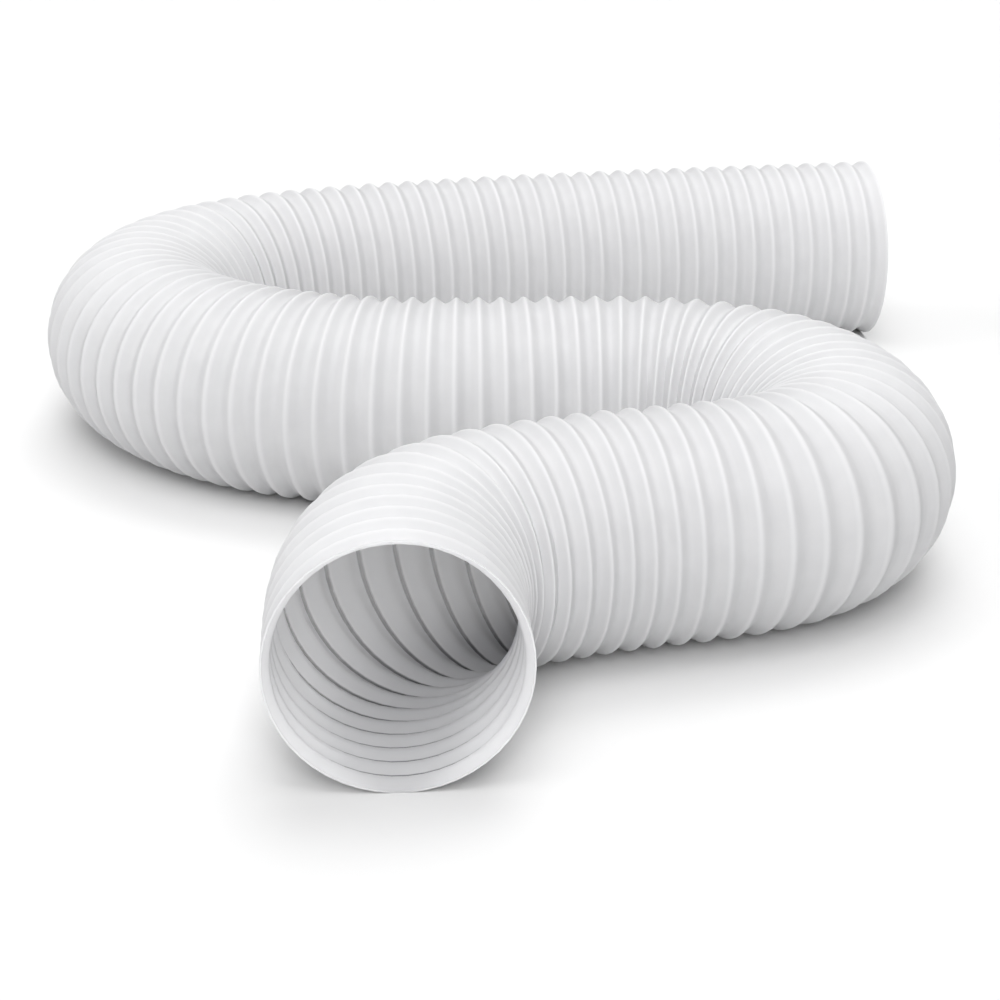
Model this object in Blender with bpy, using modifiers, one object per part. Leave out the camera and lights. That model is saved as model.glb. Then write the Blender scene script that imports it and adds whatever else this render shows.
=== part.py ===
"""Air conditioner exhaust hose: a white ridged hose of 150 mm bore, 2 m long, lying in an S on the floor.

The hose is one piece of polypropylene tube. Its wall rises to a narrow ring-shaped ridge once a pitch, and
both ends are cut square along a ridge, so that each rim has the full diameter.

Metres, +Z up. The hose is turned straight, standing on its far end along +Z, and then laid on the floor. Its
far end opens towards +X and its near end, after the short front bend, opens towards -Y. The origin is on the
floor under the middle of the hose's box.
"""
import math

import bpy
import numpy as np

# The hose's own dimensions
BORE_DIAMETER = 0.150
WALL = 0.001
RIDGE_HEIGHT = 0.005
RIDGE_PITCH = 0.0182
HOSE_LENGTH = 2.000

# How the hose lies, from its far end to its near end. Each bend has the place of its middle along the hose,
# the length that it is spread over, and its turn in degrees, positive to the left. Bends may overlap.
BENDS = (
    (0.490, 0.975, 18.0),
    (0.675, 0.470, 73.0),
    (0.915, 0.710, 86.0),
    (1.380, 0.510, -116.0),
    (1.555, 0.275, -55.0),
    (1.770, 0.300, 21.0),
    (1.860, 0.215, 58.0),
)
FAR_END_HEADING = 180.0

# How unevenly the hose is drawn out by hand: at shares of its length, how many pitches the ridges there lie
# past an even spacing
UNEVENNESS = (
    (0.000, 0.00),
    (0.280, -0.30),
    (0.425, 0.65),
    (0.575, 0.10),
    (0.730, 0.00),
    (0.875, -0.30),
    (1.000, 0.00),
)

# How finely the hose is divided
SIDES = 20
RIDGES_PER_BORE_RING = 2
ROUTE_STEP = 0.001
MERGE_DISTANCE = 0.00001
SHARP_ANGLE = 70.0

BORE_RADIUS = BORE_DIAMETER / 2
VALLEY_RADIUS = BORE_RADIUS + WALL
RIDGE_RADIUS = VALLEY_RADIUS + RIDGE_HEIGHT
PITCHES = round(HOSE_LENGTH / RIDGE_PITCH)


def clear_scene():
    for old in list(bpy.data.objects):
        bpy.data.objects.remove(old, do_unlink=True)


def white_polypropylene():
    """White extruded polypropylene, a little cool and slightly glossy."""
    material = bpy.data.materials.new("white_polypropylene")
    material.use_nodes = True
    shader = material.node_tree.nodes["Principled BSDF"]
    shader.inputs["Base Color"].default_value = (0.84, 0.84, 0.85, 1.0)
    shader.inputs["Roughness"].default_value = 0.42
    shader.inputs["Metallic"].default_value = 0.0
    return material


def wall_section():
    """The wall's outline as (radius, height): down the ridged outside, across the rim and up the bore."""
    outside = []
    for row in range(2 * PITCHES + 1):
        radius = RIDGE_RADIUS if row % 2 == 0 else VALLEY_RADIUS
        outside.append((radius, HOSE_LENGTH * (1 - row / (2 * PITCHES))))
    bore_rings = math.ceil(PITCHES / RIDGES_PER_BORE_RING)
    bore = [(BORE_RADIUS, HOSE_LENGTH * ring / bore_rings) for ring in range(bore_rings + 1)]
    return outside + bore


def turned_hose(collection):
    """The straight hose: its wall's closed outline turned once round the Z axis."""
    section = wall_section()
    mesh = bpy.data.meshes.new("hose")
    points = [(radius, 0.0, height) for radius, height in section]
    edges = [(index, (index + 1) % len(points)) for index in range(len(points))]
    mesh.from_pydata(points, edges, [])
    hose = bpy.data.objects.new("hose", mesh)
    collection.objects.link(hose)
    screw = hose.modifiers.new("turned", "SCREW")
    screw.axis = "Z"
    screw.angle = 2 * math.pi
    screw.steps = SIDES
    screw.render_steps = SIDES
    screw.use_merge_vertices = True
    screw.merge_threshold = MERGE_DISTANCE
    depsgraph = bpy.context.evaluated_depsgraph_get()
    turned = bpy.data.meshes.new_from_object(hose.evaluated_get(depsgraph))
    hose.modifiers.clear()
    hose.data = turned
    return hose


def drawn_out(along):
    """Places along the hose after its ridges have been drawn out unevenly, from those of even ridges."""
    shares, shifts = zip(*UNEVENNESS)
    return along + RIDGE_PITCH * np.interp(along / HOSE_LENGTH, shares, shifts)


def headings(along):
    """Direction of the hose's centreline on the floor, in radians from +X, at places along the hose."""
    heading = np.full_like(along, math.radians(FAR_END_HEADING))
    for middle, length, turn in BENDS:
        share = np.clip((along - middle) / length + 0.5, 0.0, 1.0)
        eased = share - np.sin(2 * math.pi * share) / (2 * math.pi)
        heading += math.radians(turn) * eased
    return heading


def centreline(along):
    """Place of the hose's centreline on the floor, found by walking along the headings in small steps."""
    count = round(HOSE_LENGTH / ROUTE_STEP)
    ends = np.linspace(0.0, HOSE_LENGTH, count + 1)
    heading = headings((ends[1:] + ends[:-1]) / 2)
    stride = HOSE_LENGTH / count
    x = np.concatenate(([0.0], np.cumsum(np.cos(heading)) * stride))
    y = np.concatenate(([0.0], np.cumsum(np.sin(heading)) * stride))
    return np.interp(along, ends, x), np.interp(along, ends, y)


def lay_on_floor(hose):
    """Bend the straight hose along its route, resting on its ridge, and centre its box on the origin."""
    vertices = hose.data.vertices
    points = np.empty(len(vertices) * 3)
    vertices.foreach_get("co", points)
    side, up, along = points.reshape(-1, 3).T
    along = drawn_out(along)
    heading = headings(along)
    x, y = centreline(along)
    x = x - side * np.sin(heading)
    y = y + side * np.cos(heading)
    z = up + RIDGE_RADIUS
    x -= (x.min() + x.max()) / 2
    y -= (y.min() + y.max()) / 2
    vertices.foreach_set("co", np.column_stack((x, y, z)).ravel())
    hose.data.update()


def build():
    clear_scene()
    parts = bpy.data.collections.new("air_conditioner_exhaust_hose")
    bpy.context.scene.collection.children.link(parts)
    hose = turned_hose(parts)
    lay_on_floor(hose)
    hose.data.shade_smooth()
    hose.data.set_sharp_from_angle(angle=math.radians(SHARP_ANGLE))
    hose.data.materials.clear()
    hose.data.materials.append(white_polypropylene())


build()
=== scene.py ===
"""Looks of the air conditioner exhaust hose: a thin ridged wall of white polypropylene, on a pale floor.

The wall is one closed mesh. It is worked out straight, as rings of points along the hose, and every ring is
then laid on the hose's route. Metres, in the frame's own axes.
"""

import math

import bmesh
import bpy
import numpy as np
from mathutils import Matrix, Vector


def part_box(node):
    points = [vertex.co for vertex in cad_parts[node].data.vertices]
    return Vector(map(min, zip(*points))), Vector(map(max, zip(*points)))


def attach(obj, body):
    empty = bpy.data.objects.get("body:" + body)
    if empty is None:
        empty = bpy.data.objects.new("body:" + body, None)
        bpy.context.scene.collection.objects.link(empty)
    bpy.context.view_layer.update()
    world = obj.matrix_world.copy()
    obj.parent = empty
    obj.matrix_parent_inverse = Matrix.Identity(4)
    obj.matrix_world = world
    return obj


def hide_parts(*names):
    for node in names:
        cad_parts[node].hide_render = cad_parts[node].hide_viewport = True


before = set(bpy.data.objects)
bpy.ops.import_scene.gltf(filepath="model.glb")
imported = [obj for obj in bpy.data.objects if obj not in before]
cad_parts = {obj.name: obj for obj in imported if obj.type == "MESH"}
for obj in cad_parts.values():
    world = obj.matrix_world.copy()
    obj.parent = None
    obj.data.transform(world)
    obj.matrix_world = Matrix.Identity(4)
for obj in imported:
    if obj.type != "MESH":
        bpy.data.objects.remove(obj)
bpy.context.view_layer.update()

# The hose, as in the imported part: its height on the floor is the diameter over its ridges
HOSE_LENGTH = 2.000
RIDGE_PITCH = 0.0182
RIDGE_HEIGHT = 0.005
WALL = 0.001
NODE_LOW, NODE_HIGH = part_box("hose")
RIDGE_RADIUS = (NODE_HIGH.z - NODE_LOW.z) / 2
VALLEY_RADIUS = RIDGE_RADIUS - RIDGE_HEIGHT
PITCHES = round(HOSE_LENGTH / RIDGE_PITCH)

# How the hose lies: each bend's middle and length along the hose, and its turn in degrees to the left
BENDS = (
    (0.490, 0.975, 18.0),
    (0.675, 0.470, 73.0),
    (0.915, 0.710, 86.0),
    (1.380, 0.510, -116.0),
    (1.555, 0.275, -55.0),
    (1.770, 0.300, 21.0),
    (1.860, 0.215, 58.0),
)
FAR_END_HEADING = 180.0

# The stride in which the centreline is walked
ROUTE_STEP = 0.001

# How unevenly it is drawn out: at shares of its length, how many pitches its ridges lie past even spacing
UNEVENNESS = (
    (0.000, 0.00),
    (0.280, -0.30),
    (0.425, 0.65),
    (0.575, 0.10),
    (0.730, 0.00),
    (0.875, -0.30),
    (1.000, 0.00),
)

# How the wall is divided: points round each ring, and the rings between a ridge and the next valley, as
# shares of the pitch. Further in from both ends than can be seen into, the inside has fewer rings
SIDES = 50
OUTSIDE_RINGS = (0.0, 0.04, 0.09, 0.15, 0.23, 0.35, 0.5)
INSIDE_RINGS = (0.0, 0.04, 0.10, 0.22, 0.36, 0.5)
HIDDEN_INSIDE_RINGS = (0.0, 0.18, 0.5)
SEEN_DEPTH = 0.36

# The ridge's sides: from 0, hollow all the way from ridge to ridge, to 1, straight down into a sharp valley
STRAIGHTNESS = 0.5

# The ridge's top is rounded off by this share of the ridge's height
TOP_ROUNDING = 0.22

# Half the width of the painted shade along the crease inside each ridge, as a share of the pitch
CREASE_SHADE_WIDTH = 0.068

# How many points either side of its place each point of the inside is worked out from
SKIN_SAMPLES = 20

# Where the wall turns by more than this many degrees, its shading has an edge
SHARP_ANGLE = 65.0

# The plastic's colours: body in two slightly different clouds, a painted highlight along the crests, the
# bore painted lighter than the outside as painted light, and painted shade in the creases
BODY_COLOURS = ((0.572, 0.572, 0.582, 1.0), (0.597, 0.597, 0.606, 1.0))
CREST_HIGHLIGHT_COLOUR = (0.637, 0.637, 0.646, 1.0)
BORE_PAINTED_LIGHT_COLOUR = (0.735, 0.735, 0.755, 1.0)
CREASE_SHADE_COLOUR = (0.110, 0.110, 0.115, 1.0)

# The marks' ranges over which those colours and the roughness blend in
CLOUD_RANGE = (0.35, 0.65)
CREST_HIGHLIGHT_RANGE = (0.75, 1.0)
CREASE_SHADE_RANGE = (0.25, 0.7)
DRAWN_LINES_RANGE = (0.3, 0.7)

# The plastic's grain, as noise cells in a metre: for the lines drawn round the hose, sideways, upwards and
# along it, and for the clouds
DRAWN_LINES_SCALE = (14.0, 14.0, 900.0)
CLOUD_SCALE = 38.0
NOISE_DETAIL = 3.0

# The plastic's surface: duller and shinier roughness, specular level, and how far the drawn lines stand out
ROUGHNESS = (0.55, 0.75)
SPECULAR_LEVEL = 0.25
BUMP_STRENGTH = 0.25
BUMP_HEIGHT = 0.00006

# How much light goes through the thin skin, seen from outside and from inside, how far it spreads, and that
# red, green and blue spread alike
TRANSLUCENCY = (0.17, 0.60)
LIGHT_SPREAD = 0.02
COLOUR_SPREADS = (1.0, 1.0, 1.0)

# Where a mix node has its inputs for the share and the two colours, and its output for the mixed colour
MIX_INPUTS = (0, 6, 7)
MIX_OUTPUT = 2

# The studio floor
FLOOR_SIZE = 400.0
FLOOR_COLOUR = (0.70, 0.70, 0.70, 1.0)
FLOOR_ROUGHNESS = 0.8
FLOOR_SPECULAR_LEVEL = 0.1

# The photograph's camera: place, heading and tilt down in degrees, and lens and sensor in millimetres
CAMERA_PLACE = (-0.2958, -1.7539, 0.6759)
VIEW_HEADING = 81.39
VIEW_DOWN = 20.885
LENS = 87.06
SENSOR = 36.0

# The light: a white horizon, which fades into a dark ceiling up to a height given as the sine of its
# angle, and wide softboxes, each with the heading that it shines along, its height above the horizon and
# its width, in degrees, and its strength
WHITE = (1.0, 1.0, 1.0, 1.0)
HORIZON_STRENGTH = 1.0
CEILING_STRENGTH = 0.01
HORIZON_HEIGHT = 0.09
SOFTBOXES = {
    "overhead_softbox": (75.0, 88.0, 70.0, 1.50),
    "back_softbox": (255.0, 60.0, 40.0, 0.95),
    "high_front_softbox": (78.0, 60.0, 40.0, 0.90),
    "front_softbox": (84.0, 32.0, 30.0, 1.80),
    "left_softbox": (0.0, 30.0, 40.0, 0.65),
    "right_softbox": (200.0, 60.0, 40.0, 0.30),
}


def headings(along):
    """Direction of the hose's centreline on the floor, in radians from +X, at places along the hose."""
    heading = np.full_like(along, math.radians(FAR_END_HEADING))
    for middle, length, turn in BENDS:
        share = np.clip((along - middle) / length + 0.5, 0.0, 1.0)
        eased = share - np.sin(2 * math.pi * share) / (2 * math.pi)
        heading += math.radians(turn) * eased
    return heading


def centreline(along):
    """Place of the hose's centreline on the floor, found by walking along the headings in small steps."""
    count = round(HOSE_LENGTH / ROUTE_STEP)
    ends = np.linspace(0.0, HOSE_LENGTH, count + 1)
    heading = headings((ends[1:] + ends[:-1]) / 2)
    stride = HOSE_LENGTH / count
    x = np.concatenate(([0.0], np.cumsum(np.cos(heading)) * stride))
    y = np.concatenate(([0.0], np.cumsum(np.sin(heading)) * stride))
    return np.interp(along, ends, x), np.interp(along, ends, y)


def drawn_out(along):
    """Places along the hose after its ridges have been drawn out unevenly, from those of even ridges."""
    shares, shifts = zip(*UNEVENNESS)
    return along + RIDGE_PITCH * np.interp(along / HOSE_LENGTH, shares, shifts)


def laid_on_route(along, side):
    """Floor places of points that lie at a distance to the left of the centreline."""
    along = drawn_out(along)
    x, y = centreline(along)
    heading = headings(along)
    return x - side * np.sin(heading), y + side * np.cos(heading)


def route_shift():
    """The step on the floor that brings the middle of the ridges' box to the middle of the node's box."""
    along = np.tile(np.linspace(0.0, HOSE_LENGTH, PITCHES + 1), 2)
    side = np.repeat((-RIDGE_RADIUS, RIDGE_RADIUS), PITCHES + 1)
    x, y = laid_on_route(along, side)
    middle = (NODE_LOW + NODE_HIGH) / 2
    return middle.x - (x.min() + x.max()) / 2, middle.y - (y.min() + y.max()) / 2


def ridge_share(place):
    """Height of the outside at places along the hose, in pitches: 1 on a ridge and 0 at a valley's bottom.

    The valley is a wide round hollow and the ridge a narrow crest, whose very top is rounded off."""
    offset = 2 * np.abs(place - np.round(place))
    fall = STRAIGHTNESS * offset + (1 - STRAIGHTNESS) * np.sin(math.pi / 2 * offset)
    rounded = np.hypot(fall, TOP_ROUNDING)
    lowest = math.hypot(1.0, TOP_ROUNDING)
    return (lowest - rounded) / (lowest - TOP_ROUNDING)


def outside_radius(place):
    """Radius of the outside at places along the hose, in pitches."""
    return VALLEY_RADIUS + RIDGE_HEIGHT * ridge_share(place)


def inside_radius(place):
    """Radius of the inside, which lies a wall's thickness below the outside, square to the skin."""
    reach = np.linspace(-1.0, 1.0, 2 * SKIN_SAMPLES + 1) * WALL
    nearby = outside_radius(place[:, None] + reach / RIDGE_PITCH)
    return (nearby - np.sqrt(WALL ** 2 - reach ** 2)).min(axis=1)


def ring_places(rings_at):
    """Places of the rings along the hose, in pitches, from the rings within each half pitch."""
    found = []
    for pitch in range(PITCHES):
        rings = rings_at(pitch)
        found += [pitch + phase for phase in rings[:-1]]
        found += [pitch + 1 - phase for phase in reversed(rings[1:])]
    return np.array(found + [PITCHES], dtype=float)


def inside_rings(pitch):
    """The rings inside one pitch: fine near both mouths, and coarse where nobody can see."""
    near_a_mouth = min(pitch, PITCHES - pitch) < SEEN_DEPTH / RIDGE_PITCH
    return INSIDE_RINGS if near_a_mouth else HIDDEN_INSIDE_RINGS


def painted_crease_shade(place):
    """How much painted shade darkens the inside at places along the hose, in pitches: 1 in a ridge, but 0
    at both cut ends.
    """
    offset = np.abs(place - np.round(place))
    at_an_end = (place < 0.5) | (place > PITCHES - 0.5)
    return np.where(at_an_end, 0.0, np.exp(-((offset / CREASE_SHADE_WIDTH) ** 2)))


def wall_section():
    """The wall's closed section, out along the outside and back inside: places, radii and marks."""
    outside = ring_places(lambda pitch: OUTSIDE_RINGS)
    inside = ring_places(inside_rings)[::-1]
    along = np.concatenate((outside, inside)) * HOSE_LENGTH / PITCHES
    radius = np.concatenate((outside_radius(outside), inside_radius(inside)))
    marks = {
        "ridge": np.concatenate((ridge_share(outside), np.zeros_like(inside))),
        "crease_shade": np.concatenate((np.zeros_like(outside), painted_crease_shade(inside))),
        "within": np.concatenate((np.zeros_like(outside), np.ones_like(inside))),
    }
    return along, radius, marks


def ring_faces(count):
    """The four-sided faces between neighbouring rings, where the last ring joins up with the first."""
    row = np.arange(count)[:, None]
    column = np.arange(SIDES)[None, :]
    next_row = (row + 1) % count
    next_column = (column + 1) % SIDES
    corners = (
        row * SIDES + column,
        row * SIDES + next_column,
        next_row * SIDES + next_column,
        next_row * SIDES + column,
    )
    return np.stack(corners, axis=-1).reshape(-1, 4)


def turn_faces_outwards(mesh):
    body = bmesh.new()
    body.from_mesh(mesh)
    bmesh.ops.recalc_face_normals(body, faces=body.faces[:])
    body.to_mesh(mesh)
    body.free()


def hose_wall(material):
    """The hose's wall as one closed mesh laid along the route, with its straight places and marks kept."""
    ring_along, ring_radius, marks = wall_section()
    angle = np.linspace(0.0, 2 * math.pi, SIDES, endpoint=False)
    along = np.repeat(ring_along, SIDES)
    side = np.outer(ring_radius, np.cos(angle)).ravel()
    up = np.outer(ring_radius, np.sin(angle)).ravel()
    x, y = laid_on_route(along, side)
    shift_x, shift_y = route_shift()
    points = np.column_stack((x + shift_x, y + shift_y, up + RIDGE_RADIUS))
    mesh = bpy.data.meshes.new("hose_wall")
    mesh.from_pydata(points.tolist(), [], ring_faces(len(ring_along)).tolist())
    turn_faces_outwards(mesh)
    mesh.shade_smooth()
    mesh.set_sharp_from_angle(angle=math.radians(SHARP_ANGLE))
    straight = mesh.attributes.new("straight_place", "FLOAT_VECTOR", "POINT")
    straight.data.foreach_set("vector", np.column_stack((side, up, along)).ravel())
    for name, mark in marks.items():
        attribute = mesh.attributes.new(name, "FLOAT", "POINT")
        attribute.data.foreach_set("value", np.repeat(mark, SIDES))
    mesh.materials.append(material)
    wall = bpy.data.objects.new("hose_wall", mesh)
    bpy.context.scene.collection.objects.link(wall)
    return wall


class MaterialNodes:
    """The nodes of one material, each made and joined to what it works from."""

    def __init__(self, material):
        self.tree = material.node_tree
        self.shader = self.tree.nodes["Principled BSDF"]

    def join(self, output, name):
        self.tree.links.new(output, self.shader.inputs[name])

    def attribute(self, name, output):
        made = self.tree.nodes.new("ShaderNodeAttribute")
        made.attribute_name = name
        return made.outputs[output]

    def stretched(self, vector, factors):
        made = self.tree.nodes.new("ShaderNodeMapping")
        made.inputs["Scale"].default_value = factors
        self.tree.links.new(vector, made.inputs["Vector"])
        return made.outputs["Vector"]

    def noise(self, vector, scale):
        made = self.tree.nodes.new("ShaderNodeTexNoise")
        made.inputs["Scale"].default_value = scale
        made.inputs["Detail"].default_value = NOISE_DETAIL
        self.tree.links.new(vector, made.inputs["Vector"])
        return made.outputs["Fac"]

    def ramp(self, value, span, results=(0.0, 1.0)):
        """Results between the two given, as the value goes from one end of its span to the other."""
        made = self.tree.nodes.new("ShaderNodeMapRange")
        ends = zip(("From Min", "From Max", "To Min", "To Max"), span + results)
        for name, end in ends:
            made.inputs[name].default_value = end
        self.tree.links.new(value, made.inputs["Value"])
        return made.outputs["Result"]

    def mixed(self, share, first, second):
        """A blend of two colours in the share given; each is a plain colour or another node's output."""
        made = self.tree.nodes.new("ShaderNodeMix")
        made.data_type = "RGBA"
        for socket, value in zip(MIX_INPUTS, (share, first, second)):
            if isinstance(value, tuple):
                made.inputs[socket].default_value = value
            else:
                self.tree.links.new(value, made.inputs[socket])
        return made.outputs[MIX_OUTPUT]

    def bump(self, height):
        made = self.tree.nodes.new("ShaderNodeBump")
        made.inputs["Strength"].default_value = BUMP_STRENGTH
        made.inputs["Distance"].default_value = BUMP_HEIGHT
        self.tree.links.new(height, made.inputs["Height"])
        return made.outputs["Normal"]


def white_polypropylene():
    """White extruded polypropylene: fine drawn lines round it, a painted highlight on the crests, the
    inside painted lighter as painted light, and painted shade in the creases.
    """
    material = bpy.data.materials.new("white_polypropylene")
    material.use_nodes = True
    nodes = MaterialNodes(material)
    place = nodes.attribute("straight_place", "Vector")
    ridge, crease_shade, within = (nodes.attribute(name, "Fac") for name in ("ridge", "crease_shade", "within"))
    drawn_lines = nodes.noise(nodes.stretched(place, DRAWN_LINES_SCALE), 1.0)
    cloud = nodes.noise(place, CLOUD_SCALE)
    colour = nodes.mixed(nodes.ramp(cloud, CLOUD_RANGE), *BODY_COLOURS)
    # Painted highlight: the crests are lightened towards a whiter colour near the ridge tops
    colour = nodes.mixed(nodes.ramp(ridge, CREST_HIGHLIGHT_RANGE), colour, CREST_HIGHLIGHT_COLOUR)
    # Painted light: the inside takes a lighter copy of the plastic's colour than the outside, to brighten
    # the bore
    colour = nodes.mixed(within, colour, BORE_PAINTED_LIGHT_COLOUR)
    # Painted shade: the inside is darkened towards near-black along the crease in each ridge
    colour = nodes.mixed(nodes.ramp(crease_shade, CREASE_SHADE_RANGE), colour, CREASE_SHADE_COLOUR)
    nodes.join(colour, "Base Color")
    nodes.join(nodes.ramp(drawn_lines, DRAWN_LINES_RANGE, ROUGHNESS), "Roughness")
    nodes.join(nodes.bump(drawn_lines), "Normal")
    nodes.join(nodes.ramp(within, (0.0, 1.0), TRANSLUCENCY), "Subsurface Weight")
    nodes.shader.inputs["Subsurface Radius"].default_value = COLOUR_SPREADS
    nodes.shader.inputs["Subsurface Scale"].default_value = LIGHT_SPREAD
    nodes.shader.inputs["Specular IOR Level"].default_value = SPECULAR_LEVEL
    return material


def make_floor():
    bpy.ops.mesh.primitive_plane_add(size=FLOOR_SIZE)
    floor = bpy.context.object
    floor.name = "floor"
    material = bpy.data.materials.new("pale_floor")
    material.use_nodes = True
    shader = material.node_tree.nodes["Principled BSDF"]
    shader.inputs["Base Color"].default_value = FLOOR_COLOUR
    shader.inputs["Roughness"].default_value = FLOOR_ROUGHNESS
    shader.inputs["Specular IOR Level"].default_value = FLOOR_SPECULAR_LEVEL
    floor.data.materials.append(material)


def make_surroundings():
    world = bpy.data.worlds.new("studio")
    world.use_nodes = True
    tree = world.node_tree
    direction = tree.nodes.new("ShaderNodeTexCoord")
    parts = tree.nodes.new("ShaderNodeSeparateXYZ")
    fade = tree.nodes.new("ShaderNodeMapRange")
    fade.inputs["From Max"].default_value = HORIZON_HEIGHT
    fade.inputs["To Min"].default_value = HORIZON_STRENGTH
    fade.inputs["To Max"].default_value = CEILING_STRENGTH
    background = tree.nodes["Background"]
    background.inputs["Color"].default_value = WHITE
    tree.links.new(direction.outputs["Generated"], parts.inputs["Vector"])
    tree.links.new(parts.outputs["Z"], fade.inputs["Value"])
    tree.links.new(fade.outputs["Result"], background.inputs["Strength"])
    bpy.context.scene.world = world


def make_softboxes():
    for name, (heading, height, width, strength) in SOFTBOXES.items():
        data = bpy.data.lights.new(name, "SUN")
        data.angle = math.radians(width)
        data.energy = strength
        light = bpy.data.objects.new(name, data)
        light.rotation_euler = (math.radians(90.0 - height), 0.0, math.radians(heading - 90.0))
        bpy.context.scene.collection.objects.link(light)


def make_camera():
    data = bpy.data.cameras.new("camera")
    data.sensor_width = SENSOR
    data.lens = LENS
    camera = bpy.data.objects.new("camera", data)
    camera.location = CAMERA_PLACE
    camera.rotation_euler = (
        math.radians(90.0 - VIEW_DOWN),
        0.0,
        math.radians(VIEW_HEADING - 90.0),
    )
    bpy.context.scene.collection.objects.link(camera)
    bpy.context.scene.camera = camera


make_camera()
make_surroundings()
make_softboxes()
make_floor()
wall = hose_wall(white_polypropylene())
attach(wall, "root")
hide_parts("hose")
bpy.context.scene.view_settings.view_transform = "Standard"
